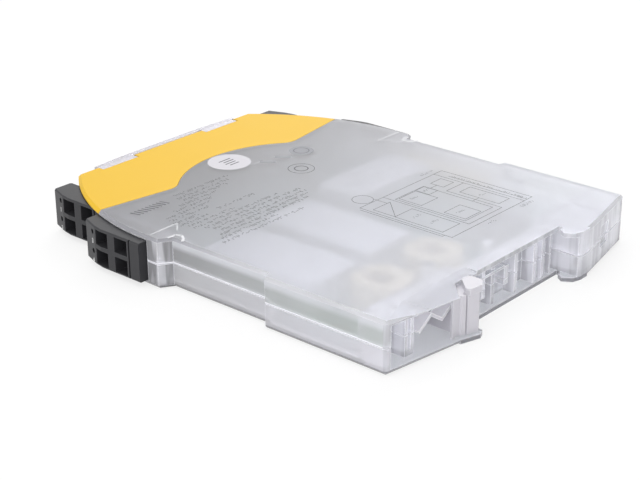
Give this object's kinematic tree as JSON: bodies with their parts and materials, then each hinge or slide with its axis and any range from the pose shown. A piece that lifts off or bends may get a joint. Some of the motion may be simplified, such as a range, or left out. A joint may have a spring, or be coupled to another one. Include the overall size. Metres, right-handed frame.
{
  "type": "safety relay",
  "caption": "Slim safety relay for a standard rail: frosted clear housing, yellow front with a hinged flap, dark plug-in terminal blocks and a sprung rail latch.",
  "frame": {"origin": "centre of the outline on the flat side that the relay lies on", "axes": "+Z is the module's width, -Y is the yellow front, +Y is the rail side, +X is the end with the rail latch"},
  "size_m": [0.1, 0.12, 0.0125],
  "materials": {
    "clear_housing": "frosted, lets the inner pieces show softly",
    "yellow_moulding": "fine satin",
    "clear_moulding": "smooth, clear",
    "white_label": "flat",
    "latch_moulding": "natural white, satin",
    "terminal_moulding": "satin dark grey",
    "spring_steel": "bright rolled strip",
    "plated_pins": "tin plated",
    "header_moulding": "satin black",
    "board": "green lacquered laminate",
    "relay_case": "satin white",
    "bobbin": "satin cream",
    "ferrite": "dull dark grey",
    "capacitor_can": "sleeved can",
    "chip_case": "fine matt black",
    "light_case": "clear lens body"
  },
  "bodies": {
    "housing": {"capacitor_far": "capacitor_can", "capacitor_near": "capacitor_can", "choke_bobbin_middle": "bobbin", "choke_bobbin_near": "bobbin", "choke_core_middle": "ferrite", "choke_core_near": "ferrite", "driver_block": "bobbin", "front_hood": "yellow_moulding", "header_pins_lower_far": "plated_pins", "header_pins_lower_near": "plated_pins", "header_pins_upper_far": "plated_pins", "header_pins_upper_near": "plated_pins", "housing_base": "clear_housing", "housing_cover": "clear_housing", "latch_spring": "latch_moulding", "light_guide": "clear_moulding", "logic_chip_far": "chip_case", "logic_chip_near": "chip_case", "main_board": "board", "marking_plate": "white_label", "pin_header_lower_far": "header_moulding", "pin_header_lower_near": "header_moulding", "pin_header_upper_far": "header_moulding", "pin_header_upper_near": "header_moulding", "relay_far": "relay_case", "relay_middle": "relay_case", "relay_near": "relay_case", "status_lights": "light_case"},
    "flap": {"front_flap": "clear_moulding"},
    "latch": {"rail_latch": "latch_moulding"},
    "plug_upper_near": {"terminal_block_upper_near": "terminal_moulding", "clamp_springs_upper_near": "spring_steel"},
    "plug_lower_near": {"terminal_block_lower_near": "terminal_moulding", "clamp_springs_lower_near": "spring_steel"},
    "plug_upper_far": {"terminal_block_upper_far": "terminal_moulding", "clamp_springs_upper_far": "spring_steel"},
    "plug_lower_far": {"terminal_block_lower_far": "terminal_moulding", "clamp_springs_lower_far": "spring_steel"}
  },
  "joints": [
    {"name": "flap_hinge", "type": "hinge", "parent": "housing", "child": "flap", "pos_m": [0.027, -0.0574, 0], "axis": [0, 0, 1], "range_deg": [0, 100]},
    {"name": "latch_slide", "type": "slide", "parent": "housing", "child": "latch", "axis": [1, 0, 0], "range_m": [0, 0.0018], "stiffness_N_per_m": 1500, "springref_m": -0.001, "deforming": ["latch_spring"]},
    {"name": "plug_upper_near_slide", "type": "slide", "parent": "housing", "child": "plug_upper_near", "axis": [0, -1, 0], "range_m": [0, 0.026]},
    {"name": "plug_lower_near_slide", "type": "slide", "parent": "housing", "child": "plug_lower_near", "axis": [0, -1, 0], "range_m": [0, 0.047]},
    {"name": "plug_upper_far_slide", "type": "slide", "parent": "housing", "child": "plug_upper_far", "axis": [0, -1, 0], "range_m": [0, 0.026]},
    {"name": "plug_lower_far_slide", "type": "slide", "parent": "housing", "child": "plug_lower_far", "axis": [0, -1, 0], "range_m": [0, 0.047]}
  ]
}
